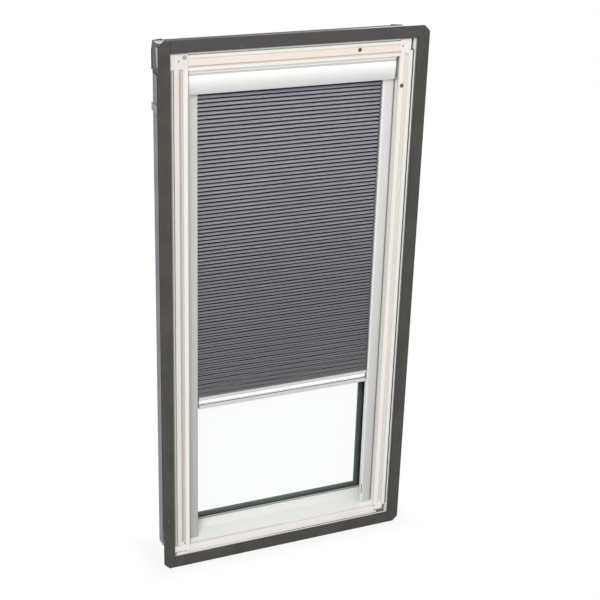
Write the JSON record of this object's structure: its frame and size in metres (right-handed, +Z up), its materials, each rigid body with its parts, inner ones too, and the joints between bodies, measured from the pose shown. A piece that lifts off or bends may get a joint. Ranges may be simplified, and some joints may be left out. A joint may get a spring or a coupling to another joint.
{
  "type": "skylight window with pleated blind",
  "caption": "Fixed deck-mounted skylight with a pre-fitted room-darkening pleated blind that slides up and down in side channels.",
  "frame": {"origin": "middle of the bottom deck seal's room-side face, 13 mm above the lowest edge", "axes": "+X to the right seen from the room, +Y away from the room to the outside, +Z up the long side"},
  "size_m": [0.596, 0.1052, 1.219],
  "materials": {
    "deck_seal": "matt dark grey-brown foam rubber with a rounded edge",
    "mounting_flange": "matt mill-finish sheet",
    "wood_frame": "satin white lacquer over softwood, the face grooves a warmer tan",
    "lining_strip": "matt pale grey-green strip",
    "side_cover": "satin lavender-grey coated sheet",
    "top_cover": "satin dark grey coated sheet",
    "cover_strap": "satin dark grey sheet",
    "glass": "clear, faintly green",
    "glazing_gasket": "matt near-black green-grey",
    "glass_spacer": "dark spacer and edge seal",
    "headbox": "smooth satin white lacquered extrusion",
    "fabric_top_strip": "plain extrusion",
    "drive_shaft": "drawn steel",
    "drive_plastic": "moulded black plastic",
    "control_box": "moulded black plastic",
    "side_channel": "satin pale grey lacquered extrusion",
    "channel_foot": "grey moulded plastic",
    "foot_pulley": "black moulded plastic",
    "cord": "thin braided cord",
    "pleated_fabric": "matt dark grey room-darkening fabric, crisp horizontal pleats",
    "bottom_bar": "satin pale grey and white lacquered extrusion",
    "glider": "grey moulded plastic"
  },
  "bodies": {
    "frame": {"deck_seal_left": "deck_seal", "deck_seal_right": "deck_seal", "deck_seal_top": "deck_seal", "deck_seal_bottom": "deck_seal", "mounting_flange_left": "mounting_flange", "mounting_flange_right": "mounting_flange", "mounting_flange_top": "mounting_flange", "mounting_flange_bottom": "mounting_flange", "frame_rail_left": "wood_frame", "frame_rail_right": "wood_frame", "frame_rail_top": "wood_frame", "frame_rail_bottom": "wood_frame", "lining_strip_left": "lining_strip", "lining_strip_right": "lining_strip", "lining_strip_top": "lining_strip", "lining_strip_bottom": "lining_strip", "side_cover_left": "side_cover", "side_cover_right": "side_cover", "bottom_cover": "side_cover", "top_cover": "top_cover", "cover_strap_left": "cover_strap", "cover_strap_right": "cover_strap", "inner_pane": "glass", "outer_pane": "glass", "glazing_gasket": "glazing_gasket", "weather_gasket": "glazing_gasket", "glass_spacer": "glass_spacer", "headbox_cover": "headbox", "headbox_rail": "headbox", "headbox_end_cap_left": "headbox", "headbox_end_cap_right": "headbox", "fabric_top_strip": "fabric_top_strip", "shaft_bracket_left": "drive_plastic", "shaft_bracket_right": "drive_plastic", "tubular_motor": "drive_plastic", "control_box": "control_box", "side_channel_left": "side_channel", "side_channel_right": "side_channel", "channel_foot_left": "channel_foot", "channel_foot_right": "channel_foot", "lift_cord_left": "cord", "lift_cord_right": "cord", "return_cord_left": "cord", "return_cord_right": "cord", "cord_back_run_left": "cord", "cord_back_run_right": "cord", "pleated_fabric": "pleated_fabric"},
    "bottom_bar": {"bottom_bar": "bottom_bar", "bottom_bar_grip": "bottom_bar", "glider_left": "glider", "glider_right": "glider"},
    "drive": {"drive_shaft": "drive_shaft", "cord_spool_left": "drive_plastic", "cord_spool_right": "drive_plastic"},
    "foot_pulley_left": {"foot_pulley_left": "foot_pulley"},
    "foot_pulley_right": {"foot_pulley_right": "foot_pulley"}
  },
  "joints": [
    {"name": "blind_slide", "type": "slide", "parent": "frame", "child": "bottom_bar", "axis": [0, 0, 1], "range_m": [-0.325, 0.6], "deforming": ["pleated_fabric", "lift_cord_left", "lift_cord_right", "return_cord_left", "return_cord_right"]},
    {"name": "drive_turn", "type": "hinge", "parent": "frame", "child": "drive", "pos_m": [0, 0.042, 1.114], "axis": [1, 0, 0], "range_deg": [-3909, 2118]},
    {"name": "pulley_turn_left", "type": "hinge", "parent": "frame", "child": "foot_pulley_left", "pos_m": [-0.2212, 0.042, 0.0527], "axis": [1, 0, 0], "range_deg": [-3909, 2118]},
    {"name": "pulley_turn_right", "type": "hinge", "parent": "frame", "child": "foot_pulley_right", "pos_m": [0.2212, 0.042, 0.0527], "axis": [1, 0, 0], "range_deg": [-3909, 2118]}
  ],
  "couplings": [
    {"joint": "drive_turn", "follows": "blind_slide", "rad_per_m": -113.64},
    {"joint": "pulley_turn_left", "follows": "blind_slide", "rad_per_m": -113.64},
    {"joint": "pulley_turn_right", "follows": "blind_slide", "rad_per_m": -113.64}
  ]
}
